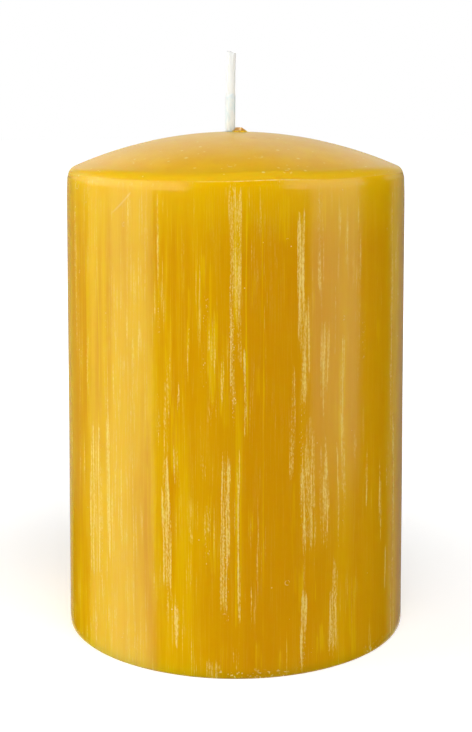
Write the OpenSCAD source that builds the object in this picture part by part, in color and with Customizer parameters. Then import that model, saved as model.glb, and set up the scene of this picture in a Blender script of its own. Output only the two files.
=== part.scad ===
// Pillar candle: a straight round wall under a shallow domed crown, with a waxed wick through it.
// Millimetres, +Z up, -Y to the front. The origin is the centre of the foot.

/* [Wax body] */
// Diameter of the straight wall
body_d = 68; // [50:1:90]
// Height of the wax, from its foot to the top of the crown
body_h = 99; // [60:1:160]
// Rise of the crown above the line where its curve would meet the wall
crown_h = 7.5; // [4:0.5:14]
// Radius of the arc that rounds the crown's edge
rim_r = 2; // [0.8:0.1:3.5]
// How far from upright that arc ends, in degrees
rim_angle = 21; // [10:1:40]
// Height of the tapered shoulder between the rim and the straight wall
shoulder_h = 1; // [0.5:0.1:2]
// How far the shoulder's top stands in from the wall
shoulder_in = 0.27; // [0.1:0.01:0.5]
// Radius of the rounded edge at the foot
foot_r = 0.4; // [0.2:0.1:2]

/* [Wick] */
// Width of the plaited wick across its flats, without its wax coat
wick_d = 1.8; // [1.2:0.1:3]
// Thickness of the wax coat on the lower part of the wick
coat = 0.08; // [0.04:0.02:0.3]
// Extra thickness of the coat where the wick stands in the body
collar = 0.03; // [0.02:0.01:0.1]
// Height of the tip above the crown
wick_h = 16.2; // [10:0.2:25]
// Height above the crown at which the wax coat ends
coat_h = 7; // [3:0.5:8]
// How far the wick stands to the left of the body's axis
wick_offset = 1.1; // [0:0.1:3]
// How far the tip leans back to the right
wick_lean = 0.25; // [0:0.05:2]
// Height that the slanted snip takes off the tip's right side
snip_h = 0.35; // [0.1:0.05:0.8]
// Depth of the wick's lower end inside the foot
wick_recess = 0.8; // [0.4:0.1:3]

/* [Torn wax beside the wick] */
// How far the torn wax reaches from the wick
burr_l = 2.4; // [1:0.1:4]
// Thickness of the largest flake
burr_w = 0.9; // [0.5:0.1:2]
// Height of the largest flake above the crown
burr_h = 0.85; // [0.4:0.05:1.5]

/* [Hidden] */
$fn = 96;

wall_r = body_d / 2;

// The crown is part of a sphere that would meet the wall's line at crown_h below its top.
crown_r = (wall_r * wall_r + crown_h * crown_h) / (2 * crown_h);
crown_z = body_h - crown_r;

// The rim's arc is tangent to the crown from inside, and ends at the crease above the shoulder.
crease_x = wall_r - shoulder_in;
rim_x = crease_x - rim_r * cos(rim_angle);
rim_z = crown_z + sqrt(pow(crown_r - rim_r, 2) - rim_x * rim_x);
crease_z = rim_z + rim_r * sin(rim_angle);
wall_z = crease_z - shoulder_h;
crown_edge_x = rim_x * crown_r / (crown_r - rim_r);

// The wick comes out of the crown at wick_z, and stands straight until it is clear of the torn wax.
wick_x = -wick_offset;
wick_z = crown_z + sqrt(crown_r * crown_r - wick_offset * wick_offset);
coated_d = wick_d + 2 * coat;
bore_d = coated_d + 2 * collar;
straight_h = burr_h + 0.3;
overlap_h = 0.2;
coat_fade = 0.6;
plait_squareness = 2.6;
wick_sides = 20;
wick_steps = 24;

// Each flake of torn wax: its direction, and its share of the length, thickness and height.
flakes = [[-6, 1, 1, 1], [27, 0.8, 0.8, 0.55], [-42, 0.6, 0.9, 0.75]];
flake_root = 1;
flake_sides = 14;
bore_clear = 1;

function smooth_step(t) = let (s = min(max(t, 0), 1)) s * s * (3 - 2 * s);

// Width, lean and squareness of the wick at a height above the crown.
function wick_width(h) = coated_d - 2 * coat * smooth_step((h - coat_h) / coat_fade + 0.5);
function wick_shift(h) = wick_lean * pow(max(h - straight_h, 0) / (wick_h - straight_h), 1.5);
function wick_power(h) = 2 + (plait_squareness - 2) * smooth_step((h - straight_h) / coat_fade);

// One section of the wick, a superellipse: round where its power is 2, and squarer above that.
function wick_ring(h) = [
    for (i = [0 : wick_sides - 1])
        let (
            a = 360 * i / wick_sides,
            n = wick_power(h),
            r = wick_width(h) / 2 * pow(pow(abs(cos(a)), n) + pow(abs(sin(a)), n), -1 / n)
        )
        [wick_x + wick_shift(h) + r * cos(a), r * sin(a), wick_z + h]
];

// Skins a stack of closed rings, listed from the lowest up, each with the same number of points.
module loft(rings) {
    sides = len(rings[0]);
    last = len(rings) - 1;
    polyhedron(
        points = [for (ring = rings) each ring],
        faces = [
            [for (i = [0 : sides - 1]) i],
            [for (i = [sides - 1 : -1 : 0]) last * sides + i],
            for (k = [0 : last - 1], i = [0 : sides - 1])
                let (a = k * sides + i, b = k * sides + (i + 1) % sides)
                each [[a, a + sides, b + sides], [a, b + sides, b]]
        ]
    );
}

// Right half of the body's upright section, made of true arcs and straight lines.
module body_profile() {
    square([wall_r - foot_r, wall_z]);
    translate([wall_r - foot_r, foot_r]) circle(foot_r);
    translate([0, foot_r]) square([wall_r, wall_z - foot_r]);
    polygon([[0, foot_r], [wall_r, wall_z], [crease_x, crease_z], [0, crease_z]]);
    intersection() {
        translate([0, crease_z]) square([wall_r, body_h]);
        translate([rim_x, rim_z]) circle(rim_r);
    }
    intersection() {
        translate([0, crease_z]) square([crown_edge_x, body_h]);
        translate([0, crown_z]) circle(crown_r);
    }
}

// A ridge of torn wax that runs out from the wick, level at first, and then drops to the crown.
module flake(direction, length, thickness, height) {
    root = thickness / 2;
    end = thickness / 4;
    translate([wick_x, 0, wick_z - flake_root]) rotate([0, 0, direction]) hull() {
        for (x = [0, length / 2])
            translate([bore_d / 2 + x, 0, 0]) cylinder(r = root, h = flake_root + height, $fn = flake_sides);
        translate([bore_d / 2 + length - end, 0, 0])
            cylinder(r = end, h = flake_root + height / 4, $fn = flake_sides);
    }
}

module wick_bore() {
    translate([wick_x, 0, -bore_clear])
        cylinder(d = bore_d, h = bore_clear + wick_z + burr_h + bore_clear);
}

module wax_body() {
    color([0.87, 0.62, 0.07]) difference() {
        union() {
            rotate_extrude() body_profile();
            for (f = flakes)
                flake(f[0], f[1] * burr_l, f[2] * burr_w, f[3] * burr_h);
        }
        wick_bore();
    }
}

// Takes the right half of the tip down along a slant.
module snip() {
    translate([wick_x + wick_lean, 0, wick_z + wick_h])
        rotate([0, atan(2 * snip_h / wick_d), 0])
            translate([0, -wick_d, 0]) cube([2 * wick_d, 2 * wick_d, 2 * snip_h]);
}

module wick() {
    low_h = straight_h - overlap_h;
    color([0.95, 0.96, 0.94]) {
        translate([wick_x, 0, wick_recess]) cylinder(d = bore_d, h = wick_z + straight_h - wick_recess);
        difference() {
            loft([for (k = [0 : wick_steps]) wick_ring(low_h + (wick_h - low_h) * k / wick_steps)]);
            snip();
        }
    }
}

wax_body();
wick();
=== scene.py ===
# The looks of a pillar candle: mottled wax with a domed crown, a waxed wick, and a plain studio.
# Metres, +Z up, -Y to the front. Sizes that are written in millimetres are multiplied by MM.
import math

import bmesh
import bpy
import numpy as np
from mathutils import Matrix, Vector


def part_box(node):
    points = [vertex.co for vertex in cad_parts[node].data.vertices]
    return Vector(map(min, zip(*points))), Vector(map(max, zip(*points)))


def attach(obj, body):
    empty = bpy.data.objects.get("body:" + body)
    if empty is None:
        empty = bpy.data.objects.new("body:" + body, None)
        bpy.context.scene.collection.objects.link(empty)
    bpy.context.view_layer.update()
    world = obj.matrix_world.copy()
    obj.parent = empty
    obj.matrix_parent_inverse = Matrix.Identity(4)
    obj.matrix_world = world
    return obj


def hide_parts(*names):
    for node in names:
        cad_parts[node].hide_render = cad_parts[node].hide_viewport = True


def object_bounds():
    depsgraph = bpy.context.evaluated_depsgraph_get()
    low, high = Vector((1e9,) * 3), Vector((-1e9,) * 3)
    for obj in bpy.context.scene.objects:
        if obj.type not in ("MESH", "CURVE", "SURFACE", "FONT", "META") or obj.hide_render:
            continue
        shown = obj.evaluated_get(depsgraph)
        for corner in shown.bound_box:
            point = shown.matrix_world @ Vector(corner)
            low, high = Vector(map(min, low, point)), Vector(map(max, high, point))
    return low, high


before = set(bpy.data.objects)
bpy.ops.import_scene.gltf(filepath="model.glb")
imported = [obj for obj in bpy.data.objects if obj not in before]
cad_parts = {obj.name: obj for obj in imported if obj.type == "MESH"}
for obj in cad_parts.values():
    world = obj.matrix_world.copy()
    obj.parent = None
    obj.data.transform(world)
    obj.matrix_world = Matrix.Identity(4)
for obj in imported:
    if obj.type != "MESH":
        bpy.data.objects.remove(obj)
cad_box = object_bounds()

MM = 0.001
RNG = np.random.default_rng(7)

# The wax body, in millimetres. The wall's radius and the wick's top come from the frame.
WALL_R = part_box("wax_body")[1][0] / MM
WICK_TOP = cad_box[1][2] / MM
CROWN_TOP = 99.0
CROWN_RISE = 7.5
RIM_R = 2.0
RIM_ANGLE = math.radians(21)
SHOULDER_H = 1.0
SHOULDER_IN = 0.27
FOOT_R = 0.4
BORE_R = 1.01
WICK_X = -1.1

CROWN_R = (WALL_R ** 2 + CROWN_RISE ** 2) / (2 * CROWN_RISE)
CROWN_Z = CROWN_TOP - CROWN_R
CREASE_X = WALL_R - SHOULDER_IN
RIM_X = CREASE_X - RIM_R * math.cos(RIM_ANGLE)
RIM_Z = CROWN_Z + math.sqrt((CROWN_R - RIM_R) ** 2 - RIM_X ** 2)
CREASE_Z = RIM_Z + RIM_R * math.sin(RIM_ANGLE)
CROWN_EDGE = RIM_X * CROWN_R / (CROWN_R - RIM_R)

# How far the crease above the shoulder rises or dips, in millimetres, at angles in degrees round the body
# from the front.
CREASE_WAVE = [(-150, 0.0), (-83, 0.0), (-55, 0.12), (-39, 0.02), (-15, 0.1), (0, 0.22), (10, 0.47),
               (18, 0.45), (30, 0.18), (39, 0.25), (48, 0.42), (58, 0.5), (83, 0.15), (140, -0.15)]

# The mesh: columns round the wall, of which the crown and the base have every second one, and the
# spacing of its rows. The steps round the arcs of the rim and the foot are in radians.
COLUMNS = 896
FINE_ROW = 0.1
FINE_REACH = 4.2
CROWN_ROW = 1.3
RIM_STEP = 0.075
EDGE_ROW = 0.09
SHOULDER_ROW = 0.24
ROLL_ROW = 0.85
WALL_ROW = 2.0
FOOT_STEP = 0.27
BASE_ROW = 3.4

# From this far beyond the bore, the rows are centred on the body's axis, and no longer on the wick.
CENTRE_FADE = 14.0

# The wall stands inside its true radius by the inset and up to twice the unevenness, whose waves are
# drawn out upright. Over ROLL_H it draws in further, towards the crease.
WALL_INSET = 0.01
WALL_UNEVEN = 0.03
UPRIGHT = 0.35
ROLL_IN = 0.12
ROLL_H = 5.0

# The crease's wave fades out over this height of the wall, and the rim's colour over this width of the
# crown.
WAVE_FADE = 12.0
RIM_TINT = 4.0


def smooth(t):
    """A smooth step, from 0 at 0 to 1 at 1."""
    t = np.clip(t, 0.0, 1.0)
    return t * t * (3.0 - 2.0 * t)


def ripples(seed, count, longest, shortest):
    """A sum of waves over x, y and z, mostly between -1 and 1, as a function of three arrays."""
    rng = np.random.default_rng(seed)
    directions = rng.normal(size=(count, 3))
    directions /= np.linalg.norm(directions, axis=1)[:, None]
    lengths = np.geomspace(longest, shortest, count)
    phases = rng.uniform(0, math.tau, count)

    def height(x, y, z):
        total = np.zeros(np.broadcast(x, y, z).shape)
        for (a, b, c), length, phase in zip(directions, lengths, phases):
            total += np.sin(math.tau * (a * x + b * y + c * z) / length + phase)
        return total / math.sqrt(count)

    return height


def crown_height(distance):
    """Height of the crown's sphere at a distance from the body's axis."""
    return CROWN_Z + np.sqrt(CROWN_R ** 2 - np.square(distance))


# The torn wax beside the wick: each flake's direction in degrees, its reach, thickness and height. A
# flake wanders from side to side, has steep flanks, and falls to the crown over the last part of its
# reach. Its surface is crumbly, and a low lip of wax runs round the wick.
FLAKES = [(-6, 2.5, 0.95, 0.82), (24, 2.0, 0.8, 0.6), (-40, 1.3, 0.7, 0.4)]
FLAKE_START = -0.6
FLAKE_WANDER = 0.12
FLAKE_BENDS = 3.1
FLANK_SLOPE = 2.4
FLANK_START = 0.75
FALL_SHARE = 0.45
FALL_POWER = 0.8
CRUMBLE = 0.22
CRUMBLE_LIMIT = 1.06
LIP_HEIGHT = 0.05
LIP_REACH = 0.25


def torn_wax(x, y):
    """Height of the torn wax over the crown, at places measured from the wick's middle."""
    away = np.hypot(x, y) - BORE_R
    height = LIP_HEIGHT * np.square(np.clip(1 - away / LIP_REACH, 0, 1))
    for direction, reach, thickness, top in FLAKES:
        turn = math.radians(direction)
        along = x * math.cos(turn) + y * math.sin(turn) - BORE_R
        across = np.abs(y * math.cos(turn) - x * math.sin(turn))
        wander = FLAKE_WANDER * np.sin(FLAKE_BENDS * along + direction)
        side = 1 - smooth((across + wander) / thickness * FLANK_SLOPE - FLANK_START)
        fall = np.clip((reach - along) / (FALL_SHARE * reach), 0, 1) * (along > FLAKE_START)
        height = np.maximum(height, top * side * fall ** FALL_POWER)
    crumbs = ripples(seed=5, count=9, longest=1.2, shortest=0.25)(x, y, 0 * x)
    return height * np.clip(1 + CRUMBLE * crumbs, 0, CRUMBLE_LIMIT)


def even(start, end, spacing):
    """Evenly spaced values after start, up to and with end."""
    count = max(1, math.ceil(abs(end - start) / spacing))
    return [start + (end - start) * k / count for k in range(1, count + 1)]


def wax_rows():
    """The body's section as rows (radius, height, part), from the bore's lower end out over the crown."""
    rows = [(BORE_R, 0.0, "bore"), (BORE_R, CROWN_TOP / 2, "bore"), (BORE_R, CROWN_TOP, "crown")]
    rows += [(r, CROWN_TOP, "crown") for r in even(BORE_R, FINE_REACH, FINE_ROW)]
    rows += [(r, CROWN_TOP, "crown") for r in even(FINE_REACH, CROWN_EDGE, CROWN_ROW)]
    crown_slope = math.acos(CROWN_EDGE / CROWN_R)
    last = RIM_ANGLE + EDGE_ROW / RIM_R
    for angle in even(crown_slope, last, RIM_STEP) + [RIM_ANGLE]:
        rows.append((RIM_X + RIM_R * math.cos(angle), RIM_Z + RIM_R * math.sin(angle), "rim"))
    for drop in [EDGE_ROW] + even(EDGE_ROW, SHOULDER_H, SHOULDER_ROW):
        rows.append((CREASE_X + SHOULDER_IN * drop / SHOULDER_H, CREASE_Z - drop, "shoulder"))
    wall_top = CREASE_Z - SHOULDER_H
    roll_foot = wall_top - ROLL_H
    for z in even(wall_top, roll_foot, ROLL_ROW) + even(roll_foot, FOOT_R, WALL_ROW):
        rows.append((WALL_R, z, "wall"))
    for angle in even(0.0, math.pi / 2, FOOT_STEP):
        rows.append((WALL_R - FOOT_R * (1 - math.cos(angle)), FOOT_R * (1 - math.sin(angle)), "foot"))
    rows += [(r, 0.0, "base") for r in even(WALL_R - FOOT_R, BORE_R, BASE_ROW)[:-1]]
    return rows


def crease_lift(angle):
    """Lift of the crease at evenly spaced angles round the body, in radians from the front."""
    places, lifts = zip(*CREASE_WAVE)
    lift = np.interp(np.degrees(angle), places, lifts, period=360)

    # The average over about 6 degrees each way rounds the corners off.
    reach = COLUMNS // 60
    padded = np.concatenate([lift[-reach:], lift, lift[:reach]])
    return np.convolve(padded, np.ones(2 * reach + 1) / (2 * reach + 1), mode="valid")


# Edges that turn by more than this are shaded sharp.
SHARP_ANGLE = math.radians(50)


def grid_mesh(name, rings, values, close_rows=False, caps=(), coarse=None):
    """A mesh from rings of points, (rows, columns, 3), joined round each ring and from ring to ring.

    Rows that coarse marks use every second point. Values hold one number per point for the material,
    by name. A row in caps is closed by one face.
    """
    rows, columns = rings.shape[:2]
    step = np.ones(rows, dtype=int) if coarse is None else np.where(coarse, 2, 1)
    used = (np.arange(columns)[None, :] % step[:, None] == 0).ravel()
    number = np.cumsum(used) - 1
    faces = [number[cap * columns + np.arange(columns)].tolist() for cap in caps]
    for low in range(rows if close_rows else rows - 1):
        high = (low + 1) % rows
        wide = max(step[low], step[high])
        here = np.arange(0, columns, wide)
        beyond = (here + wide) % columns
        loop = [low * columns + here, high * columns + here]
        if step[high] < wide:
            loop.append(high * columns + here + 1)
        loop += [high * columns + beyond, low * columns + beyond]
        if step[low] < wide:
            loop.append(low * columns + here + 1)
        faces += number[np.stack(loop, axis=-1)].tolist()
    mesh = bpy.data.meshes.new(name)
    mesh.from_pydata((rings.reshape(-1, 3)[used] * MM).tolist(), [], faces)
    work = bmesh.new()
    work.from_mesh(mesh)
    bmesh.ops.recalc_face_normals(work, faces=work.faces)
    work.to_mesh(mesh)
    work.free()
    mesh.set_sharp_from_angle(angle=SHARP_ANGLE)
    for key, numbers in values.items():
        attribute = mesh.attributes.new(key, "FLOAT", "POINT")
        numbers = np.broadcast_to(numbers, (rows, columns)).ravel()[used]
        attribute.data.foreach_set("value", numbers.astype(np.float32))
    piece = bpy.data.objects.new(name, mesh)
    bpy.context.collection.objects.link(piece)
    return piece


# The streaks that stand out on the front. Each has its place round the wall from the front, half its
# width and its lower and upper end, all in millimetres, and then its strength.
YELLOW_STREAKS = [
    (-36.2, 0.5, 44, 60, 0.6), (-33.2, 0.55, 44, 80, 0.8), (-31.3, 0.6, 40, 56, 0.7),
    (-29.3, 0.28, 38, 91, 0.9), (-25.2, 0.8, 82, 91, 0.6), (-25.0, 0.4, 49, 60, 0.7),
    (-21.4, 1.0, 56, 70, 0.6), (-21.6, 0.9, 18, 34, 0.6), (-23.4, 0.7, 60, 86, 0.45),
    (-27.2, 0.5, 60, 88, 0.4), (-17.6, 0.6, 26, 52, 0.4), (-15.3, 0.35, 12, 44, 0.6),
    (-14.0, 0.5, 84, 91, 0.4), (-12.8, 0.6, 42, 69, 0.7), (-11.0, 0.9, 36, 53, 0.9),
    (-10.5, 0.9, 6, 38, 0.6), (-9.0, 0.7, 6, 20, 0.6), (-8.9, 0.3, 52, 74, 0.7), (-6.4, 0.9, 68, 80, 0.6),
    (-4.8, 1.0, 82, 90, 0.7), (-4.2, 1.1, 49, 70, 1.0), (-4.6, 0.35, 66, 80, 0.7),
    (-3.7, 1.0, 18, 30, 0.7), (-5.4, 0.9, 20, 37, 0.6), (-2.2, 0.7, 44, 66, 0.8),
    (-2.0, 0.6, -2, 10, 0.5), (0.3, 0.55, 62, 92, 0.7), (0.5, 0.6, 8, 56, 0.8), (1.9, 0.25, 44, 92, 0.9),
    (3.1, 0.5, 68, 76, 0.6), (3.6, 0.6, 50, 59, 0.7), (2.6, 0.4, 22, 36, 0.6), (4.9, 0.25, 6, 88, 0.6),
    (3.9, 1.0, 1, 8, 0.6), (8.9, 1.1, 78, 91, 0.7), (9.1, 0.5, 60, 80, 0.4), (10.6, 0.4, 18, 38, 0.6),
    (11.6, 0.9, 10, 22, 0.6), (8.3, 0.25, 0, 7, 0.7), (14.9, 0.4, 8, 20, 0.6), (16.4, 1.4, 80, 92, 0.5),
    (20.2, 0.5, 40, 64, 0.6), (21.4, 0.5, 40, 66, 0.6), (24.2, 0.9, -2, 18, 0.7),
    (31.4, 0.6, 58, 66, 0.6), (16.6, 0.8, 1, 10, 0.7), (22.9, 0.6, 4, 14, 0.5), (27.6, 0.5, 6, 24, 0.4),
    (-17.6, 1.5, 54, 93, 0.6), (-13.4, 1.0, 70, 93, 0.5), (-18.9, 1.3, 12, 44, 0.5),
    (-15.9, 1.2, 14, 44, 0.6), (-23.4, 1.2, 30, 58, 0.4), (-16.4, 1.1, 40, 60, 0.6),
]
PALE_STREAKS = [
    (-38.8, 0.45, 54, 88, 0.7), (-37.3, 0.35, 30, 74, 0.6), (-33.4, 0.3, 47, 62, 0.6),
    (-31.3, 1.3, 13, 46, 0.8), (-29.0, 0.4, 9, 46, 0.9), (-30.7, 0.8, 0, 11, 0.5),
    (-26.5, 0.35, 18, 52, 0.8), (-25.0, 0.25, 48, 59, 0.7), (-20.0, 0.6, -1, 8, 0.5),
    (-19.2, 1.0, 62, 80, 0.35), (-21.2, 0.9, 55, 69, 0.35), (-14.4, 0.22, 70, 90, 0.9),
    (-14.6, 0.3, 36, 52, 0.6), (-12.9, 0.45, 40, 62, 0.7), (-13.0, 0.85, 15, 43, 1.15),
    (-12.6, 0.5, 8, 22, 0.7), (-10.6, 0.25, 49, 55, 0.9), (-11.0, 0.35, 34, 45, 0.6),
    (-10.8, 0.6, 4, 15, 1.0), (-8.9, 0.2, 54, 66, 0.6), (-8.5, 0.35, 24, 29, 0.8),
    (-6.1, 0.35, 36, 43, 0.6), (-5.4, 0.6, 23, 36, 0.6), (-4.3, 0.7, 56, 66, 0.6),
    (-4.1, 0.6, 47, 54, 0.6), (-4.1, 1.3, -1, 4.5, 0.8), (-2.3, 0.3, 50, 63, 0.7),
    (-2.0, 0.8, 11, 44, 0.9), (-0.7, 0.35, 49, 92, 0.7), (-0.7, 0.5, 80, 92, 0.8),
    (0.4, 0.45, 56, 92, 0.9), (0.5, 0.25, 8, 44, 0.9), (0.1, 0.3, 19, 42, 0.6), (0.0, 0.8, 1, 7, 0.6),
    (1.5, 0.28, 44, 63, 0.9), (2.8, 0.2, 7, 20, 0.6), (10.4, 0.3, 35, 59, 0.8), (12.2, 0.45, 49, 87, 1.0),
    (13.3, 0.35, 50, 72, 0.9), (12.6, 0.3, 22, 50, 0.8), (13.8, 1.2, 22, 50, 0.85),
    (12.8, 0.55, -1, 17, 1.0), (12.7, 0.2, 16, 24, 0.5), (16.2, 0.6, 66, 92, 0.6),
    (16.9, 0.7, 46, 67, 0.9), (16.3, 0.35, 20, 46, 0.6), (17.4, 0.6, 21, 46, 0.85),
    (19.2, 0.25, 56, 74, 0.5), (19.3, 0.9, 1, 22, 0.8), (19.4, 0.6, 8, 14, 0.8),
    (20.0, 0.25, 21, 44, 0.8), (21.3, 0.3, 22, 64, 0.7), (24.3, 0.3, 36, 46, 0.6),
    (25.2, 0.3, 50, 90, 0.5), (27.5, 0.4, 27, 44, 0.7), (32.3, 0.3, 20, 42, 0.8),
    (34.6, 0.28, 10, 21, 1.0), (35.4, 0.4, 20, 46, 0.8), (36.8, 0.35, 40, 90, 0.8),
    (38.3, 0.4, 10, 60, 0.7),
]
AMBER_PATCHES = [
    (8.0, 20.0, -40, 140, 0.8), (4.5, 6.0, -10, 86, 1.0), (9.5, 4.5, 10, 88, 1.0),
    (29.0, 11.0, -30, 140, 0.8), (-1.5, 2.0, 62, 88, 0.7), (16.0, 2.6, 6, 26, 0.9),
    (-7.0, 3.0, 30, 66, 0.5), (45.5, 7.0, -30, 140, 0.7),
]
SPECKLED_STREAKS = [
    (-38.8, 0.3, 56, 88, 0.8), (-27.2, 0.3, 62, 71, 0.9), (-26.8, 0.3, 44, 52, 0.8),
    (-29.0, 0.5, 10, 42, 0.7), (-14.6, 0.25, 60, 72, 0.7), (-14.6, 0.3, 42, 53, 0.8),
    (-13.0, 0.5, 16, 24, 0.8), (-5.6, 0.3, 64, 72, 1.0), (-5.7, 0.3, 54, 62, 0.9),
    (-5.2, 0.3, 20, 26, 0.8), (-1.9, 0.55, 10, 40, 1.0), (-0.7, 0.35, 46, 76, 1.0),
    (0.4, 0.3, 60, 90, 0.6), (10.5, 0.3, 42, 54, 0.6), (12.4, 0.4, 24, 60, 0.7), (13.8, 0.9, 24, 46, 0.6),
    (12.8, 0.45, -1, 12, 0.9), (26.9, 0.4, 56, 66, 0.9), (19.4, 0.5, 2, 16, 0.8),
    (36.8, 0.3, 44, 70, 0.6),
]

FRONT_STREAKS = {
    "amber": AMBER_PATCHES,
    "yellow": YELLOW_STREAKS,
    "pale": PALE_STREAKS,
    "dotted": SPECKLED_STREAKS,
}

# Streaks on the sides and the back, which the photograph doesn't show: how many of each kind, how far from
# the front they start, and the ranges that their sizes are drawn from. Amber patches are wider and longer.
HIDDEN_STREAKS = {"amber": 16, "yellow": 70, "pale": 84, "dotted": 30}
HIDDEN_START = 46.0
HIDDEN_THINNEST = 0.22
HIDDEN_GAMMA = (1.4, 0.24)
HIDDEN_LENGTH = (8, 40)
HIDDEN_FOOT = (-8, 80)
HIDDEN_TOP = 92
HIDDEN_STRENGTH = (0.5, 1.0)
AMBER_WIDER = 6.0
AMBER_LONGER = 4.0

# A wide streak is a bundle of strands of about this half width, over a weaker area of its whole width. The
# ranges are shares of the streak's length, of the strand's half width and of the streak's strength.
STRAND = 0.26
STRANDS_CLOSE = 1.3
BUNDLE_SPAN = 0.8
BEHIND_STRANDS = 0.45
STRAND_SHORTER = (-0.25, 0.35)
STRAND_WIDTH = (0.8, 1.6)
STRAND_STRENGTH = (0.6, 1.0)

# Streaks narrow over this length at their ends, or over this share of a short one, down to this share of
# their width, and their sides fade over this share of it. They sway a little on their way down.
NARROWING = 5.0
NARROWING_SHARE = 0.4
END_WIDTH = 0.4
SOFT_SIDE = 0.6
STREAK_SWAY = 0.2


def hidden_streaks(kind):
    """Streaks like those on the front, at random places on the sides and the back."""
    widen, lengthen = (AMBER_WIDER, AMBER_LONGER) if kind == "amber" else (1.0, 1.0)
    span = math.pi * WALL_R - HIDDEN_START
    streaks = []
    for _ in range(HIDDEN_STREAKS[kind]):
        centre = HIDDEN_START + RNG.uniform(0, 2 * span)
        half_width = widen * (HIDDEN_THINNEST + RNG.gamma(*HIDDEN_GAMMA))
        length = lengthen * RNG.uniform(*HIDDEN_LENGTH)
        foot = RNG.uniform(HIDDEN_FOOT[0] * lengthen, HIDDEN_FOOT[1])
        top = min(foot + length, HIDDEN_TOP * lengthen)
        streaks.append((centre, half_width, foot, top, RNG.uniform(*HIDDEN_STRENGTH)))
    return streaks


def strands(streak):
    """Splits a wide streak into strands side by side, each with its own ends and strength."""
    centre, half_width, foot, top, strength = streak
    count = round(STRANDS_CLOSE * half_width / STRAND)
    if count < 2:
        return [streak]
    split = [(centre, half_width, foot, top, BEHIND_STRANDS * strength)]
    for place in np.linspace(-BUNDLE_SPAN, BUNDLE_SPAN, count):
        middle = centre + half_width * (place + RNG.uniform(-0.5, 0.5) / count)
        low = foot + (top - foot) * max(0.0, RNG.uniform(*STRAND_SHORTER))
        high = top - (top - foot) * max(0.0, RNG.uniform(*STRAND_SHORTER))
        width = STRAND * RNG.uniform(*STRAND_WIDTH)
        split.append((middle, width, low, high, strength * RNG.uniform(*STRAND_STRENGTH)))
    return split


def streak_field(streaks, across, up):
    """How strongly each place on the wall lies inside a streak, from 0 to the streak's strength."""
    girth = math.tau * WALL_R
    field = np.zeros(across.shape)
    for centre, half_width, foot, top, strength in streaks:
        offset = np.abs((across - centre + girth / 2) % girth - girth / 2)
        end = np.minimum(up - foot, top - up) / min(NARROWING, NARROWING_SHARE * (top - foot))
        width = half_width * (END_WIDTH + (1 - END_WIDTH) * smooth(end))
        side = smooth((1 - offset / width) / SOFT_SIDE)
        field = np.maximum(field, strength * smooth(2 * end) * side)
    return field


def streak_values(angle, z, part):
    """How strongly each kind of streak shows at each point of the wax, by the kind's name."""
    turn = (angle + math.pi) % math.tau - math.pi
    across = WALL_R * turn
    across = across + STREAK_SWAY * ripples(seed=41, count=6, longest=60, shortest=13)(across, 0.0, z)
    on_wall = np.isin(part, ["wall", "shoulder", "foot"])
    values = {}
    for name, streaks in FRONT_STREAKS.items():
        streaks = streaks + hidden_streaks(name)
        if name != "amber":
            streaks = [strand for streak in streaks for strand in strands(streak)]
        values[name] = streak_field(streaks, across, z) * on_wall
    return values


def wax_piece():
    """The wax body. Its points carry what the material needs: where it is crown, rim, the crease row for
    the painted glint, or torn wax, and the streaks."""
    rows = wax_rows()
    radius, base_z, part = (np.array(column)[:, None] for column in zip(*rows))
    angle = (np.arange(COLUMNS) / COLUMNS * math.tau)[None, :]
    lift = crease_lift(angle[0])[None, :]

    # Rows near the wick are centred on it, and the others on the body's axis.
    centre = WICK_X * (1 - smooth((radius - BORE_R) / CENTRE_FADE))
    inner = np.isin(part, ["bore", "crown", "base"])
    centre = np.where(inner, centre, 0.0)
    x = centre + radius * np.sin(angle)
    y = -radius * np.cos(angle)

    # The wall isn't quite round, and it rolls in at the rim.
    outside = np.isin(part, ["rim", "shoulder", "wall", "foot"])
    uneven = ripples(seed=11, count=7, longest=60, shortest=14)(x, y, base_z * UPRIGHT)
    inward = WALL_INSET + WALL_UNEVEN * (1 + np.clip(uneven, -1, 1))
    roll = np.square(np.clip(1 - (CREASE_Z - SHOULDER_H - base_z) / ROLL_H, 0, 1))
    roll = np.where(part == "rim", smooth((radius - CROWN_EDGE) / (CREASE_X - CROWN_EDGE)), roll)
    inward = (inward + ROLL_IN * roll) * outside
    x -= inward * np.sin(angle)
    y += inward * np.cos(angle)

    # The crown's curve, the torn wax on it, and the lift of the crease, which fades down the wall.
    on_crown = part == "crown"
    distance = np.hypot(x, y)
    dome = crown_height(np.minimum(distance, CROWN_EDGE)) + lift * np.square(distance / RIM_X)
    torn = np.where(on_crown & (radius < FINE_REACH), torn_wax(x - WICK_X, y), 0.0)
    z = np.where(on_crown, dome + torn, base_z)
    fade = np.where(np.isin(part, ["rim", "shoulder"]), 1.0, 0.0)
    fade = np.where(part == "wall", smooth(1 - (CREASE_Z - base_z) / WAVE_FADE), fade)
    z = z + fade * lift

    rim_rows = np.flatnonzero(part.ravel() == "rim")
    crease_row = np.arange(len(rows)) == rim_rows[-1]
    values = {
        "crown": np.isin(part, ["crown", "rim"]),
        "rim": np.where(on_crown, smooth((radius - CROWN_EDGE) / RIM_TINT + 1), part == "rim"),
        # The crease row, where the material paints a highlight.
        "edge": crease_row[:, None],
        "torn": torn,
    }
    values.update(streak_values(angle, z, part))
    rings = np.stack([x, y, z], axis=-1)
    return grid_mesh("wax_shell", rings, values, close_rows=True, coarse=inner.ravel())


# The wick, in millimetres: its sizes, the spacing of its rows inside the wax and above the crown, and the
# height above the crown from which it leans and turns squarer, though less where it is waxed.
WICK_SIDES = 96
WICK_FLAT_R = 0.9
WICK_RECESS = 0.8
WICK_HIDDEN_ROW = 8.0
WICK_ROW = 0.045
WICK_STRAIGHT = 1.0
WICK_LEAN = 0.25
LEAN_POWER = 1.5
WICK_SQUARENESS = 2.7
SQUARE_WAXED = 0.5
SQUARE_FADE = 1.5

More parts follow.
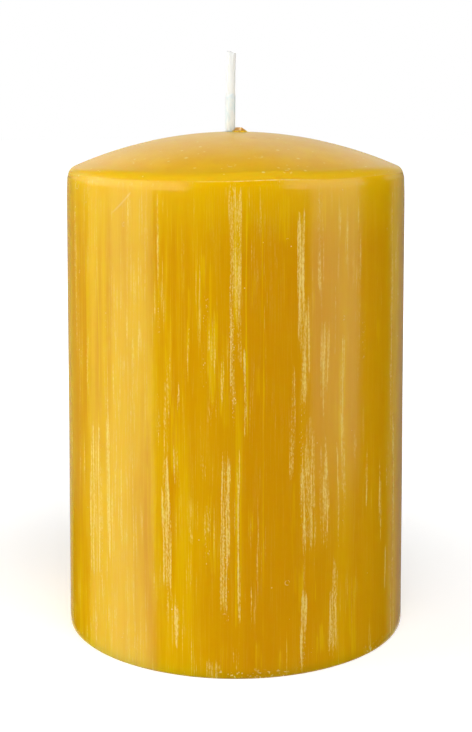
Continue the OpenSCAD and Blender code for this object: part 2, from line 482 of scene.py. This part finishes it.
# Its wax coat, which ends in a slanting, ragged step, and the thicker collar at its foot.
WICK_COAT = 0.08
COAT_TOP = 7.0
COAT_FADE = 0.5
COAT_SLANT = 0.35
COAT_TURN = 0.6
COAT_RAG = 0.12
COLLAR = 0.03
COLLAR_H = 1.2

# The relief of its yarns, which is weaker under the coat. The bare part stands in by a little more.
PLAIT_PITCH = 2.4
PLAIT_DEPTH = 0.010
PLAIT_WAXED = 0.25
YARN_DEPTH = 0.007
BARE_INSET = 0.02

# Its snipped tip: how much lower the right side is, and the middle and width of the step down to it; how
# far all of it keeps below the frame's top; the height over which the rows close up under it; its fray; and
# the sizes of the rings that close it.
SNIP_DROP = 0.33
SNIP_MIDDLE = 0.22
SNIP_WIDTH = 0.3
TIP_GAP = 0.02
TIP_CLOSING = 1.6
TIP_FRAY = 0.004
TIP_RINGS = (0.97, 0.9, 0.75, 0.55, 0.35, 0.15)


def wick_sides(angle, up, reach, bare):
    """Points of the wick's side, as x and y. Up is the height above the crown, and reach the greatest."""
    sine, cosine = np.sin(angle), np.cos(angle)
    squarer = (WICK_SQUARENESS - 2) * smooth((up - WICK_STRAIGHT) / SQUARE_FADE)
    squareness = 2 + squarer * (SQUARE_WAXED + (1 - SQUARE_WAXED) * bare)
    edge = (np.abs(sine) ** squareness + np.abs(cosine) ** squareness) ** (-1 / squareness)

    climb = math.tau * up / PLAIT_PITCH
    plait = np.sin(climb + 2 * angle) * np.sin(climb - 2 * angle)
    uneven = ripples(seed=21, count=6, longest=7, shortest=1.2)(sine, cosine, up)
    relief = PLAIT_DEPTH * plait * (PLAIT_WAXED + (1 - PLAIT_WAXED) * bare) + YARN_DEPTH * uneven
    size = WICK_FLAT_R + WICK_COAT * (1 - bare)
    size = size + COLLAR * (1 - smooth(up / COLLAR_H))
    size = size - BARE_INSET * bare + relief * smooth(up / WICK_STRAIGHT)

    lean = WICK_LEAN * np.clip((up - WICK_STRAIGHT) / (reach - WICK_STRAIGHT), 0, 1) ** LEAN_POWER
    x = WICK_X + lean + size * edge * sine
    y = -size * edge * cosine
    x = np.where(up <= 0, WICK_X + BORE_R * sine, x)
    y = np.where(up <= 0, -BORE_R * cosine, y)
    return x, y


def wick_piece():
    """The wick. Its points carry where it is waxed, for the material."""
    out = float(crown_height(WICK_X))
    top = WICK_TOP - TIP_GAP
    rows = [WICK_RECESS] + even(WICK_RECESS, out, WICK_HIDDEN_ROW) + even(out, top, WICK_ROW)
    heights = np.array(rows)[:, None]
    up = heights - out
    angle = (np.arange(WICK_SIDES) / WICK_SIDES * math.tau)[None, :]
    coat_end = COAT_TOP + COAT_SLANT * np.sin(angle + COAT_TURN) + COAT_RAG * np.sin(3 * angle)
    bare = smooth((up - coat_end) / COAT_FADE)
    x, y = wick_sides(angle, up, top - out, bare)
    z = heights + 0 * angle

    # Rings close the tip, and the rows under it close up to follow its slant.
    middle = WICK_X + WICK_LEAN
    rim_x, rim_y, rim_z = x[-1], y[-1], z[-1]
    x = np.vstack([x] + [middle + (rim_x - middle) * share for share in TIP_RINGS])
    y = np.vstack([y] + [rim_y * share for share in TIP_RINGS])
    z = np.vstack([z] + [rim_z for _ in TIP_RINGS])
    cut = SNIP_DROP * smooth((x - middle - SNIP_MIDDLE) / SNIP_WIDTH + 0.5)
    fray = TIP_FRAY * ripples(seed=31, count=8, longest=0.9, shortest=0.3)(x, y, 0 * x)
    limit = top - cut - TIP_GAP + fray
    z = z + (np.minimum(limit, top) - top) * smooth((z - top + TIP_CLOSING) / TIP_CLOSING)

    waxed = np.vstack([1 - bare, np.zeros((len(TIP_RINGS), WICK_SIDES))])
    rings = np.stack([x, y, z], axis=-1)
    return grid_mesh("wick_thread", rings, {"waxed": waxed}, caps=(0, len(rings) - 1))


# Sockets of the Mix node when it mixes colours.
MIX_FACTOR = 0
MIX_FIRST = 6
MIX_SECOND = 7
MIX_RESULT = 2


class Nodes:
    """A node tree, with a short call for each kind of node that the materials use."""

    def __init__(self, tree):
        self.tree = tree

    def add(self, kind, values=None, **settings):
        """A new node with its settings, and with values or other nodes' outputs on its inputs."""
        node = self.tree.nodes.new("ShaderNode" + kind)
        for key, value in settings.items():
            setattr(node, key, value)
        for key, value in (values or {}).items():
            self.feed(node.inputs[key], value)
        return node

    def feed(self, socket, value):
        if isinstance(value, bpy.types.NodeSocket):
            self.tree.links.new(value, socket)
        else:
            socket.default_value = value

    def math(self, operation, *values):
        node = self.add("Math", operation=operation)
        for socket, value in zip(node.inputs, values):
            self.feed(socket, value)
        return node.outputs[0]

    def total(self, *values):
        result = values[0]
        for value in values[1:]:
            result = self.math("ADD", result, value)
        return result

    def product(self, *values):
        result = values[0]
        for value in values[1:]:
            result = self.math("MULTIPLY", result, value)
        return result

    def weighted(self, *pairs):
        """The sum of values, each times its weight."""
        return self.total(*[self.product(value, weight) for value, weight in pairs])

    def blend(self, value, low, high, start=0.0, end=1.0):
        """A smooth step: start below low, end above high."""
        values = {"Value": value, "From Min": low, "From Max": high, "To Min": start, "To Max": end}
        node = self.add("MapRange", values, interpolation_type="SMOOTHSTEP")
        return node.outputs[0]

    def scale(self, vector, factors):
        node = self.add("VectorMath", {0: vector, 1: factors}, operation="MULTIPLY")
        return node.outputs[0]

    def noise(self, vector, across, up, detail=2.0, roughness=0.5, shift=0.0):
        """Noise on a place in millimetres, with so many cells a millimetre across and up."""
        place = self.add("VectorMath", {0: vector, 1: (across, across, up), 2: (shift, shift, shift)},
                         operation="MULTIPLY_ADD").outputs[0]
        values = {"Vector": place, "Scale": 1.0, "Detail": detail, "Roughness": roughness}
        return self.add("TexNoise", values).outputs[0]

    def cells(self, vector, scale):
        """Random cells: the distance from the nearest one's middle, and three random numbers of its own."""
        outputs = self.add("TexVoronoi", {"Vector": vector, "Scale": scale}, feature="F1").outputs
        return outputs["Distance"], self.add("SeparateColor", {0: outputs["Color"]}).outputs

    def mix(self, factor, first, second):
        node = self.add("Mix", data_type="RGBA", clamp_factor=True)
        self.feed(node.inputs[MIX_FACTOR], factor)
        self.feed(node.inputs[MIX_FIRST], first)
        self.feed(node.inputs[MIX_SECOND], second)
        return node.outputs[MIX_RESULT]

    def attribute(self, name):
        """One of the numbers that the mesh's points carry."""
        return self.add("Attribute", attribute_name=name).outputs["Fac"]

    def place(self):
        """The place on the object, in millimetres."""
        return self.scale(self.add("TexCoord").outputs["Object"], (1 / MM,) * 3)

    def relief(self, shader, height):
        """Gives a shader relief, from its height in millimetres."""
        bump = self.add("Bump", {"Strength": 1.0, "Distance": MM, "Height": height})
        self.feed(shader.inputs["Normal"], bump.outputs[0])


def new_material(name):
    """A material, its node tree and its shader."""
    material = bpy.data.materials.new(name)
    material.use_nodes = True
    tree = material.node_tree
    shader = tree.nodes["Principled BSDF"]
    return material, Nodes(tree), shader


# Colours of the wax, as linear red, green and blue with alpha.
AMBER = (0.625, 0.310, 0.001, 1)
GOLD = (0.725, 0.448, 0.001, 1)
YELLOW = (0.730, 0.482, 0.002, 1)
CREAM = (0.82, 0.640, 0.175, 1)
SPECK = (0.88, 0.740, 0.350, 1)
# A painted glow: the clearer yellow under the rim, for light that comes through the wax from the crown.
PAINTED_RIM_GLOW = (0.73, 0.460, 0.001, 1)
RIM_GOLD = (0.70, 0.430, 0.010, 1)
CROWN_GOLD = (0.805, 0.475, 0.006, 1)
CROWN_AMBER = (0.78, 0.428, 0.004, 1)
CROWN_STAIN = (0.74, 0.340, 0.002, 1)
TORN_AMBER = (0.56, 0.305, 0.075, 1)
TORN_PALE = (0.85, 0.660, 0.350, 1)

# The middle of a small stain on the crown, and the long scratch on the wall: where it starts, round the
# wall and in height, how far it is turned from upright, its length, and its bow. Millimetres and degrees.
STAIN_PLACE = (3.4, -11.5, 98.1)
SCRATCH_TOP = (-20.3, 89.0)
SCRATCH_TURN = 42.0
SCRATCH_LENGTH = 7.4
SCRATCH_BOW = 0.02

# Where the crease is painted pale, as a painted highlight for its glint: its middle round the wall, how far
# to each side it is strongest, and where it has ended.
GLINT_MIDDLE = 4.5
GLINT_MOST = 5.0
GLINT_END = 15.0

# From this height up to just over the crease, the wall is painted a clearer yellow: a painted glow for light
# that comes through the wax from the crown.
PAINTED_GLOW_START = 77.0
PAINTED_GLOW_END = CREASE_Z + 1.0

# Cells a millimetre, of the flecks in the speckled streaks, the lone specks and the curls; how plain each
# kind of mark is, from 0 to 1; how much likelier specks are on the crown; and how high the chips reach.
FLECK_CELLS = 4.0
SPECK_CELLS = 0.6
CURL_CELLS = 0.2
FLECK_STRENGTH = 0.8
SPECK_STRENGTH = 0.66
CURL_STRENGTH = 0.45
CHIP_STRENGTH = 0.7
SCRATCH_STRENGTH = 0.3
CROWN_SPECKS = 0.48
CHIP_TOP = 2.4

# Roughness of the wall, what pale streaks, marks and the crown add to it, and the wax's inner scattering.
WALL_ROUGHNESS = 0.17
PALE_ROUGHNESS = 0.2
MARK_ROUGHNESS = 0.2
CROWN_ROUGHNESS = 0.14
WAX_IOR = 1.44
WAX_SCATTER = (1.0, 0.7, 0.25)
WAX_DEPTH = 7.0 * MM
TORN_DEPTH = 0.6 * MM

# Depths of the relief, in millimetres, and the spacing of the faint rings on the crown.
HAIR_RELIEF = 0.002
BAND_RELIEF = 0.012
PALE_RELIEF = 0.004
SKIN_RELIEF = 0.004
CROWN_RELIEF = 0.03
MARK_RELIEF = 0.02
RING_RELIEF = 0.003
RING_SPACING = 0.55


def wall_noise(nodes, place):
    """Noise that is drawn out along the wall, from broad bands down to hairlines, and a fine grain."""
    return {
        "broad": nodes.noise(place, 0.11, 0.012),
        "band": nodes.noise(place, 0.42, 0.016, shift=11.0),
        "fibre": nodes.noise(place, 1.15, 0.035, detail=3.0, roughness=0.6, shift=23.0),
        "hair": nodes.noise(place, 3.6, 0.05, detail=2.0, roughness=0.6, shift=37.0),
        "thread": nodes.noise(place, 4.6, 0.09, detail=2.0, roughness=0.6, shift=49.0),
        "along": nodes.noise(place, 0.7, 0.11, detail=2.0, shift=53.0),
        "grain": nodes.noise(place, 4.6, 1.5, detail=2.0, roughness=0.6, shift=5.0),
    }


def wall_colour(nodes, noise, height):
    """The wall's colour, and how pale each place is: amber and gold under yellow and pale streaks.

    Under the rim it is painted a clearer yellow, a painted glow for light that comes through the wax from
    the crown.
    """
    calm = nodes.attribute("amber")
    tone = nodes.weighted((noise["broad"], 0.6), (noise["band"], 0.4), (noise["thread"], 0.15))
    golden = nodes.product(nodes.blend(tone, 0.375, 0.695), nodes.math("SUBTRACT", 1.0, calm))
    colour = nodes.mix(golden, AMBER, GOLD)

    # Yellow: hairlines in soft areas all round, and the named streaks.
    area = nodes.weighted((noise["fibre"], 0.5), (noise["along"], 0.3), (noise["band"], 0.2), (calm, -0.11))
    area = nodes.total(area, 0.05)
    hairline = nodes.blend(noise["hair"], 0.48, 0.62, 0.15, 1.0)
    yellow = nodes.product(nodes.blend(area, 0.54, 0.66, 0.0, 0.7), hairline)
    ragged = nodes.total(nodes.weighted((nodes.attribute("yellow"), 0.7), (noise["hair"], 1.1)), -0.55)
    streak = nodes.product(nodes.blend(ragged, 0.1, 0.75), nodes.blend(nodes.attribute("yellow"), 0.02, 0.5))
    colour = nodes.mix(nodes.math("MAXIMUM", yellow, streak), colour, YELLOW)
    # Painted light: the clearer yellow under the rim stands in for light coming through the wax from the
    # crown.
    colour = nodes.mix(nodes.blend(height, PAINTED_GLOW_START, PAINTED_GLOW_END, 0.0, 0.8), colour, PAINTED_RIM_GLOW)

    # Pale: the same way, finer, and broken up by the grain.
    area = nodes.weighted((noise["fibre"], 0.45), (noise["along"], 0.35), (noise["broad"], 0.3),
                          (calm, -0.09))
    thread = nodes.blend(noise["thread"], 0.50, 0.62)
    pale = nodes.product(nodes.blend(area, 0.53, 0.67, 0.05, 0.75), thread,
                         nodes.blend(noise["grain"], 0.38, 0.56, 0.3, 1.0))
    ragged = nodes.weighted((nodes.attribute("pale"), 0.6), (noise["thread"], 1.5), (noise["grain"], 1.0))
    ragged = nodes.total(ragged, -1.25)
    streak = nodes.product(nodes.blend(ragged, 0.12, 0.78), nodes.blend(nodes.attribute("pale"), 0.03, 0.5))
    pale = nodes.math("MAXIMUM", pale, streak)
    return nodes.mix(pale, colour, CREAM), pale


def flecks(nodes, place):
    """Rows of fine pale flecks in the speckled streaks."""
    distance, chance = nodes.cells(nodes.scale(place, (1.0, 1.0, 0.45)), FLECK_CELLS)
    fleck = nodes.blend(distance, 0.15, 0.42, 1.0, 0.0)
    strong = nodes.blend(chance[0], 0.3, 0.9)
    return nodes.product(fleck, strong, nodes.attribute("dotted"), FLECK_STRENGTH)


def chips(nodes, place, height):
    """Pale chips along the foot's edge, in places."""
    return nodes.product(nodes.blend(height, 0.6, CHIP_TOP, CHIP_STRENGTH, 0.0),
                         nodes.blend(nodes.noise(place, 1.7, 1.9, shift=71.0), 0.58, 0.66),
                         nodes.blend(nodes.noise(place, 0.14, 0.14, shift=9.0), 0.5, 0.6))


def lone_specks(nodes, place, crown):
    """Lone pale specks, more and larger on the crown."""
    distance, chance = nodes.cells(place, SPECK_CELLS)
    chosen = nodes.total(chance[0], nodes.product(crown, CROWN_SPECKS))
    size = nodes.total(nodes.product(chance[1], 0.07), nodes.product(crown, chance[2], 0.22), 0.05)
    return nodes.product(nodes.blend(distance, nodes.product(size, 0.4), size, 1.0, 0.0),
                         nodes.blend(chosen, 0.91, 0.97, 0.0, SPECK_STRENGTH))


def curls(nodes, place, crown):
    """Small broken rings of pale wax, larger on the crown."""
    distance, chance = nodes.cells(place, CURL_CELLS)
    size = nodes.total(nodes.product(chance[1], 0.11), nodes.product(crown, 0.1), 0.04)
    gap = nodes.math("ABSOLUTE", nodes.math("SUBTRACT", distance, size))
    broken = nodes.blend(nodes.noise(place, 1.3, 1.3, shift=83.0), 0.5, 0.58)
    width = nodes.total(nodes.product(crown, 0.02), 0.02)
    chosen = nodes.blend(chance[0], 0.72, 0.74)
    return nodes.product(nodes.blend(gap, 0.005, width, CURL_STRENGTH, 0.0), chosen, broken)


def scratch(nodes, round_wall, height):
    """One long scratch, which runs down to the left from its upper end, slightly bowed."""
    turn = math.radians(SCRATCH_TURN)
    right = nodes.math("SUBTRACT", round_wall, SCRATCH_TOP[0])
    up = nodes.math("SUBTRACT", height, SCRATCH_TOP[1])
    along = nodes.weighted((right, -math.sin(turn)), (up, -math.cos(turn)))
    across = nodes.total(nodes.product(right, math.cos(turn)), nodes.product(up, -math.sin(turn)),
                         nodes.product(along, along, SCRATCH_BOW))
    return nodes.product(nodes.blend(nodes.math("ABSOLUTE", across), 0.04, 0.25, SCRATCH_STRENGTH, 0.0),
                         nodes.blend(along, 0.0, 0.6), nodes.blend(along, 4.5, SCRATCH_LENGTH, 1.0, 0.0))


def wax_marks(nodes, place, round_wall, height):
    """The pale marks of the wax: flecks, lone specks, chips, curls and one long scratch, from 0 to 1."""
    crown = nodes.attribute("crown")
    spots = nodes.math("MAXIMUM", flecks(nodes, place), lone_specks(nodes, place, crown))
    spots = nodes.math("MAXIMUM", spots, chips(nodes, place, height))
    lines = nodes.math("MAXIMUM", curls(nodes, place, crown), scratch(nodes, round_wall, height))
    return nodes.math("MAXIMUM", spots, lines)


def crown_colour(nodes, place, mottle):
    """The crown's colour: soft mottling, one small stain, and a clearer gold towards the rim."""
    colour = nodes.mix(nodes.blend(mottle, 0.35, 0.65), CROWN_AMBER, CROWN_GOLD)
    from_stain = nodes.add("VectorMath", {0: place, 1: STAIN_PLACE}, operation="DISTANCE").outputs["Value"]
    colour = nodes.mix(nodes.blend(from_stain, 0.3, 1.3, 0.7, 0.0), colour, CROWN_STAIN)
    return nodes.mix(nodes.attribute("rim"), colour, RIM_GOLD)


def painted_crease_glint(nodes, place, round_wall):
    """A painted highlight: the crease's glint, painted pale along the front, in short stretches."""
    off_middle = nodes.math("ABSOLUTE", nodes.math("SUBTRACT", round_wall, GLINT_MIDDLE))
    return nodes.product(nodes.attribute("edge"), nodes.blend(off_middle, GLINT_MOST, GLINT_END, 0.9, 0.05),
                         nodes.blend(nodes.noise(place, 0.8, 0.8, shift=17.0), 0.35, 0.6, 0.25, 1.0))


def wax_relief(nodes, place, xyz, noise, pale, mottle, crown, marks):
    """Height in millimetres: die lines down the wall, faint rings on the crown, and marks that stand out."""
    off_axis = nodes.math("SQRT", nodes.total(nodes.product(xyz[0], xyz[0]), nodes.product(xyz[1], xyz[1])))
    rings = nodes.math("SINE", nodes.product(off_axis, math.tau / RING_SPACING))
    rings = nodes.product(rings, nodes.blend(nodes.noise(place, 0.3, 0.3, shift=3.0), 0.4, 0.7), RING_RELIEF)
    lines = nodes.weighted((noise["hair"], HAIR_RELIEF), (noise["band"], BAND_RELIEF), (pale, PALE_RELIEF))
    skin = nodes.product(nodes.noise(place, 1.6, 0.9, detail=2.0, shift=61.0), SKIN_RELIEF)
    on_wall = nodes.total(lines, skin)
    on_crown = nodes.total(rings, nodes.product(mottle, CROWN_RELIEF))
    return nodes.total(nodes.product(on_wall, nodes.math("SUBTRACT", 1.0, crown)),
                       nodes.product(on_crown, crown), nodes.product(marks, MARK_RELIEF))


def wax_material():
    """The wax, mottled and streaked on the wall, satin on the crown, and crumbly where it is torn."""
    material, nodes, shader = new_material("wax")
    place = nodes.place()
    xyz = nodes.add("SeparateXYZ", {0: place}).outputs
    noise = wall_noise(nodes, place)
    colour, pale = wall_colour(nodes, noise, xyz[2])
    round_wall = nodes.product(nodes.math("ARCTAN2", xyz[0], nodes.math("MULTIPLY", xyz[1], -1.0)), WALL_R)
    marks = wax_marks(nodes, place, round_wall, xyz[2])

    crown = nodes.attribute("crown")
    mottle = nodes.noise(place, 0.16, 0.16, detail=4.0, roughness=0.6, shift=91.0)
    colour = nodes.mix(crown, colour, crown_colour(nodes, place, mottle))
    torn = nodes.mix(nodes.blend(nodes.noise(place, 2.6, 2.6, shift=29.0), 0.5, 0.64), TORN_AMBER, TORN_PALE)
    colour = nodes.mix(nodes.blend(nodes.attribute("torn"), 0.1, 0.3), colour, torn)
    colour = nodes.mix(marks, colour, SPECK)
    # Painted highlight: the glint along the crease, painted in the pale speck colour.
    colour = nodes.mix(painted_crease_glint(nodes, place, round_wall), colour, SPECK)
    nodes.feed(shader.inputs["Base Color"], colour)

    on_wall = nodes.total(WALL_ROUGHNESS, nodes.product(pale, PALE_ROUGHNESS),
                          nodes.product(marks, MARK_ROUGHNESS))
    roughness = nodes.total(on_wall, nodes.product(crown, CROWN_ROUGHNESS))
    nodes.feed(shader.inputs["Roughness"], roughness)
    shader.inputs["IOR"].default_value = WAX_IOR
    shader.inputs["Specular IOR Level"].default_value = 0.5
    shader.inputs["Subsurface Weight"].default_value = 1.0
    shader.inputs["Subsurface Radius"].default_value = WAX_SCATTER
    shader.inputs["Subsurface Anisotropy"].default_value = 0.0
    depth = nodes.blend(nodes.attribute("torn"), 0.05, 0.3, WAX_DEPTH, TORN_DEPTH)
    nodes.feed(shader.inputs["Subsurface Scale"], depth)
    nodes.relief(shader, wax_relief(nodes, place, xyz, noise, pale, mottle, crown, marks))
    return material


# Colours of the wick, and how far light goes in it.
WICK_WHITE = (0.825, 0.925, 0.992, 1)
WICK_GREY = (0.79, 0.900, 0.980, 1)
WICK_WAXED = (0.67, 0.835, 0.970, 1)
WICK_DEPTH = 3.6 * MM
BARE_ROUGHNESS = 0.62
WAXED_ROUGHNESS = 0.28


def wick_material():
    """The wick: white yarns, and greyer and smoother where it is waxed."""
    material, nodes, shader = new_material("wick")
    place = nodes.place()
    waxed = nodes.attribute("waxed")
    yarn = nodes.noise(place, 5.0, 0.9, detail=3.0, roughness=0.6)
    mottle = nodes.noise(place, 0.9, 0.5, detail=2.0, shift=13.0)
    bare = nodes.mix(nodes.blend(yarn, 0.3, 0.6), WICK_GREY, WICK_WHITE)
    coated = nodes.mix(nodes.blend(mottle, 0.35, 0.65), WICK_GREY, WICK_WAXED)
    nodes.feed(shader.inputs["Base Color"], nodes.mix(waxed, bare, coated))
    roughness = nodes.blend(waxed, 0.0, 1.0, BARE_ROUGHNESS, WAXED_ROUGHNESS)
    nodes.feed(shader.inputs["Roughness"], roughness)
    shader.inputs["Subsurface Weight"].default_value = 1.0
    shader.inputs["Subsurface Radius"].default_value = (1.0, 1.0, 1.0)
    shader.inputs["Subsurface Scale"].default_value = WICK_DEPTH
    nodes.relief(shader, nodes.weighted((yarn, 0.008), (mottle, 0.01)))
    return material


def dress(piece, material, node):
    """Gives a piece its material, and puts it in the place of its node of the frame."""
    piece.data.materials.append(material)
    piece.data.polygons.foreach_set("use_smooth", [True] * len(piece.data.polygons))
    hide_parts(node)
    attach(piece, "root")


# The studio, in metres: a small floor under the candle, and a far one and a backdrop that the wax doesn't
# reflect.
NEAR_FLOOR_R = 0.0344
FLOOR_R = 6.0
BACKDROP_R = 2.5
BACKDROP_H = 1.7
STAGE_SIDES = 128
FLOOR_GREY = 0.82
WORLD_GREY = 0.08

# The floor glows less near the candle, so that its shadow shows there: from where to where, and how much.
SHADOW_START = 0.04
SHADOW_END = 0.26
SHADOW_GLOW = 0.4

# White strips that only show in reflections: name, distance, lower and upper edge, the azimuth where each
# starts, how far it goes round, and its strength. One behind for the crown, bands for the shoulder, and
# dim ends.
GLOSS_STRIPS = [
    ("behind", 2.4, 0.22, 1.75, 150, 54, 0.9),
    ("left_band", 0.9, 0.14, 0.52, -116, 84, 2.0),
    ("left_band_end", 0.9, 0.14, 0.52, -145, 29, 0.5),
    ("right_band", 0.9, 0.14, 0.52, 32, 60, 1.7),
    ("right_band_end", 0.9, 0.14, 0.52, 118, 37, 0.4),
    ("left_end", 0.9, -0.5, 0.14, -180, 28, 0.3),
    ("right_end", 0.9, -0.5, 0.14, 157, 23, 0.25),
]

# Area lamps: name, azimuth, elevation, distance, width, height and strength. The wax reflects the
# softboxes, and the fills only light it. Azimuths are 0 at the camera's side and grow to the right.
SOFTBOXES = [
    ("left_box", -73, -6, 0.9, 0.55, 0.9, 1.4),
    ("left_wing", -101, -6, 0.9, 0.36, 0.9, 0.6),
    ("left_edge", -131, 0, 0.9, 0.68, 0.6, 0.12),
    ("right_box", 69.3, -1, 0.9, 0.63, 0.5, 1.1),
    ("right_edge", 142, -6, 0.9, 0.5, 0.9, 0.22),
]
FILLS = [
    ("top_fill", 15, 56, 1.1, 0.9, 0.9, 3.7),
    ("left_fill", -80, 5, 1.0, 0.8, 0.8, 3.7),
    ("left_back_fill", -125, 4, 1.0, 0.6, 0.8, 2.2),
    ("front_fill", -25, 16, 1.0, 0.6, 0.6, 1.55),
    ("right_fill", 65, 15, 1.0, 0.7, 0.7, 0.6),
]
LAMP_TARGET = Vector((0, 0, 0.05))


def seen_directly(nodes):
    """1 for what the camera, a reflection or a clear material sees, 0 for light that is only scattered."""
    rays = nodes.add("LightPath").outputs
    seen = nodes.math("MAXIMUM", rays["Is Camera Ray"], rays["Is Glossy Ray"])
    return nodes.math("MAXIMUM", seen, rays["Is Transmission Ray"])


def make_glow(nodes, shader, grey, strength):
    """Makes a shader grey, without gloss, and glowing white at a strength."""
    shader.inputs["Base Color"].default_value = (grey, grey, grey, 1)
    shader.inputs["Specular IOR Level"].default_value = 0.0
    shader.inputs["Emission Color"].default_value = (1, 1, 1, 1)
    nodes.feed(shader.inputs["Emission Strength"], strength)


def floor_material():
    """Pale grey for light, white to the eye, and shaded towards the candle."""
    material, nodes, shader = new_material("studio_floor")
    distance = nodes.add("VectorMath", {0: nodes.add("TexCoord").outputs["Object"]}, operation="LENGTH")
    bright = nodes.blend(distance.outputs["Value"], SHADOW_START, SHADOW_END, SHADOW_GLOW, 1.0)
    make_glow(nodes, shader, FLOOR_GREY, nodes.product(bright, seen_directly(nodes)))
    shader.inputs["Roughness"].default_value = 0.9
    return material


def backdrop_material():
    """White to the eye, and black for light."""
    material, nodes, shader = new_material("studio_backdrop")
    make_glow(nodes, shader, 0, seen_directly(nodes))
    return material


def stage_ring(name, inner, outer, height, material, start=0.0, sweep=360.0):
    """A flat ring on the floor, or an upright one of some height, from one azimuth round to another."""
    steps = round(STAGE_SIDES * sweep / 360)
    angles = [math.radians(start + sweep * k / steps) for k in range(steps + 1)]
    lower = [(inner * math.sin(a), -inner * math.cos(a), 0.0) for a in angles]
    upper = [(outer * math.sin(a), -outer * math.cos(a), height) for a in angles]
    above = len(angles)
    faces = [(k, k + 1, above + k + 1, above + k) for k in range(steps)]
    mesh = bpy.data.meshes.new(name)
    mesh.from_pydata(lower + upper, [], faces)
    mesh.materials.append(material)
    ring = bpy.data.objects.new(name, mesh)
    bpy.context.collection.objects.link(ring)
    return ring


def gloss_strip(name, distance, low, high, start, sweep, radiance):
    """A curved white strip that shows only in reflections."""
    material, nodes, shader = new_material(name)
    make_glow(nodes, shader, 0, radiance)
    strip = stage_ring(name, distance, distance, high - low, material, start, sweep)
    strip.location.z = low
    strip.visible_camera = False
    strip.visible_diffuse = False
    strip.visible_shadow = False


def softbox(name, azimuth, elevation, distance, width, height, radiance, in_gloss):
    """An area lamp that faces the candle."""
    lamp = bpy.data.lights.new(name, "AREA")
    lamp.shape = "RECTANGLE"
    lamp.size = width
    lamp.size_y = height
    lamp.energy = radiance * math.pi * width * height
    turn, rise = math.radians(azimuth), math.radians(elevation)
    away = Vector((math.sin(turn) * math.cos(rise), -math.cos(turn) * math.cos(rise), math.sin(rise)))
    box = bpy.data.objects.new(name, lamp)
    box.location = LAMP_TARGET + away * distance
    box.rotation_euler = (-away).to_track_quat("-Z", "Y").to_euler()
    box.visible_camera = False
    box.visible_glossy = in_gloss
    bpy.context.collection.objects.link(box)


def studio():
    """Floor, backdrop, gloss strips, lamps and world."""
    floor = floor_material()
    stage_ring("floor_near", 0.0, NEAR_FLOOR_R, 0.0, floor)
    far = stage_ring("floor_far", NEAR_FLOOR_R, FLOOR_R, 0.0, floor)
    far.visible_glossy = False
    backdrop = stage_ring("backdrop", BACKDROP_R, BACKDROP_R, BACKDROP_H, backdrop_material())
    backdrop.visible_glossy = False
    backdrop.visible_diffuse = False
    backdrop.visible_shadow = False

    for strip in GLOSS_STRIPS:
        gloss_strip(*strip)
    for box in SOFTBOXES:
        softbox(*box, in_gloss=True)
    for box in FILLS:
        softbox(*box, in_gloss=False)

    world = bpy.data.worlds.new("studio_world")
    bpy.context.scene.world = world
    world.use_nodes = True
    background = world.node_tree.nodes["Background"]
    background.inputs["Color"].default_value = (WORLD_GREY, WORLD_GREY, WORLD_GREY, 1)
    world.cycles_visibility.glossy = False
    bpy.context.scene.view_settings.view_transform = "Standard"


# The camera, as the photograph was taken: its distance from the candle's axis, height and tilt. The focal
# length is in pixels of the photograph, which is FRAME_TALL of them high. The shift is a little smaller
# than the photograph's own, so that the candle stays in view from other sides.
CAMERA_SIDE = 0.06 * MM
CAMERA_AWAY = 278.5 * MM
CAMERA_UP = 108.1 * MM
CAMERA_TILT = math.radians(4.31)
FRAME_TALL = 732
FOCAL_PIXELS = 1378.9
SENSOR = 36.0
SHIFT_Y = -0.24


def camera():
    """The photograph's camera, apart from its shift."""
    data = bpy.data.cameras.new("camera")
    data.sensor_width = SENSOR
    data.lens = FOCAL_PIXELS / FRAME_TALL * SENSOR
    data.shift_y = SHIFT_Y
    eye = bpy.data.objects.new("camera", data)
    eye.location = (CAMERA_SIDE, -CAMERA_AWAY, CAMERA_UP)
    eye.rotation_euler = (math.pi / 2 - CAMERA_TILT, 0.0, 0.0)
    bpy.context.collection.objects.link(eye)
    bpy.context.scene.camera = eye


camera()
studio()
dress(wax_piece(), wax_material(), "wax_body")
dress(wick_piece(), wick_material(), "wick")
